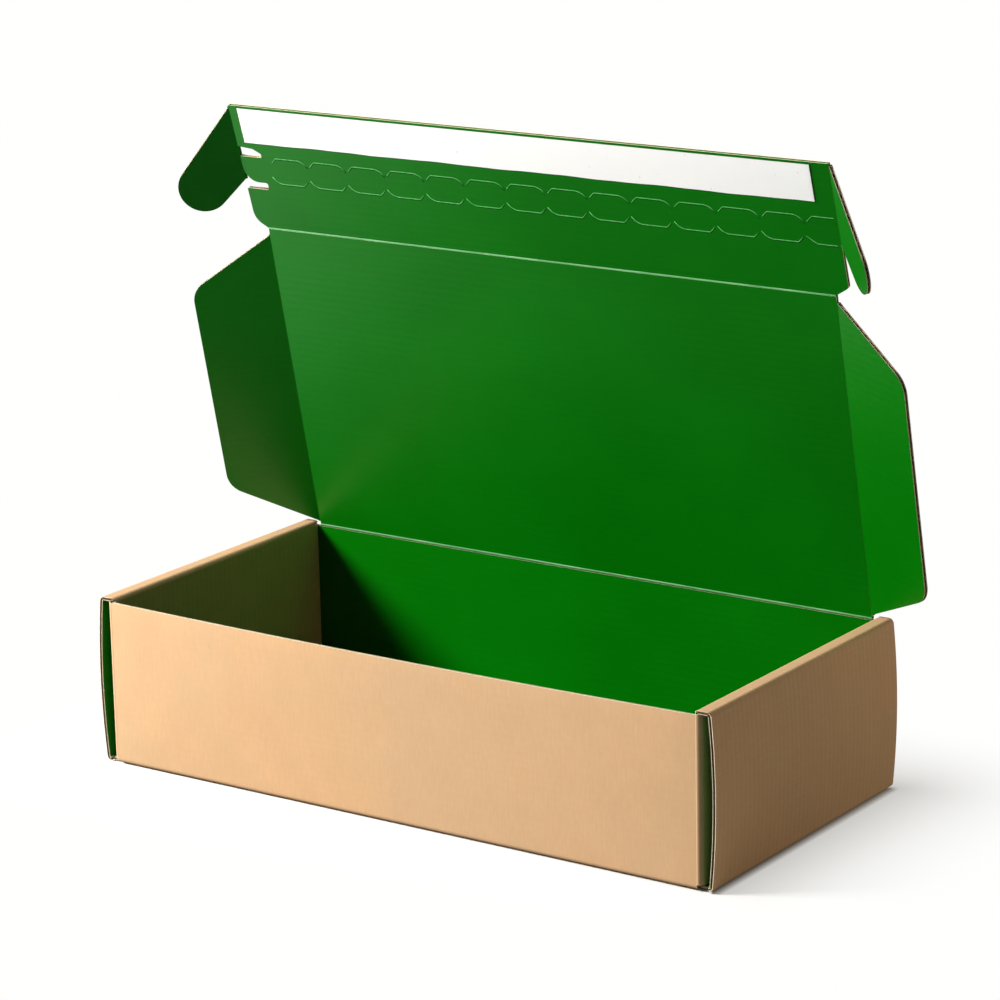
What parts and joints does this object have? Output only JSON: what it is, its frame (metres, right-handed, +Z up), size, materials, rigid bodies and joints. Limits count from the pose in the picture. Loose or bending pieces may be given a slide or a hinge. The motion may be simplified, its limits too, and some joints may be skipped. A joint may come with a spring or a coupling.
{
  "type": "corrugated mailer box",
  "caption": "Roll-end corrugated mailer box with hinged lid, tuck-in side flaps, closing flap with ears, adhesive strip and tear strip.",
  "frame": {"origin": "middle of the tray's underside, on the surface that the box stands on", "axes": "+X along the width, front wall towards -Y, lid hinged at the back (+Y), +Z up"},
  "size_m": [0.3518, 0.1452, 0.2662],
  "materials": {
    "board": "matte",
    "printed_board": "satin",
    "adhesive": "satin",
    "liner_paper": "satin"
  },
  "bodies": {
    "tray": {"tray": "board"},
    "lid": {"lid_panel": "printed_board"},
    "lid_side_flap_left": {"lid_side_flap_left": "printed_board"},
    "lid_side_flap_right": {"lid_side_flap_right": "printed_board"},
    "front_flap": {"front_flap": "printed_board", "adhesive_tape": "adhesive", "release_liner": "liner_paper"},
    "ear_left": {"ear_left": "printed_board"},
    "ear_right": {"ear_right": "printed_board"}
  },
  "joints": [
    {"name": "lid_crease", "type": "hinge", "parent": "tray", "child": "lid", "pos_m": [0, 0.0702, 0.071], "axis": [-1, 0, 0], "range_deg": [-20, 102]},
    {"name": "left_side_crease", "type": "hinge", "parent": "lid", "child": "lid_side_flap_left", "pos_m": [-0.1408, 0.0702, 0.071], "axis": [0, -0.2079, 0.9781], "range_deg": [-27, 68]},
    {"name": "right_side_crease", "type": "hinge", "parent": "lid", "child": "lid_side_flap_right", "pos_m": [0.1408, 0.0702, 0.071], "axis": [0, 0.2079, -0.9781], "range_deg": [-24, 71]},
    {"name": "front_crease", "type": "hinge", "parent": "lid", "child": "front_flap", "pos_m": [0, 0.04055, 0.21048], "axis": [1, 0, 0], "range_deg": [-5, 71]},
    {"name": "left_ear_crease", "type": "hinge", "parent": "front_flap", "child": "ear_left", "pos_m": [-0.1469, 0.04055, 0.21048], "axis": [0, -0.2924, 0.9563], "range_deg": [-30, 60]},
    {"name": "right_ear_crease", "type": "hinge", "parent": "front_flap", "child": "ear_right", "pos_m": [0.1469, 0.04055, 0.21048], "axis": [0, 0.2924, -0.9563], "range_deg": [-43, 47]}
  ]
}
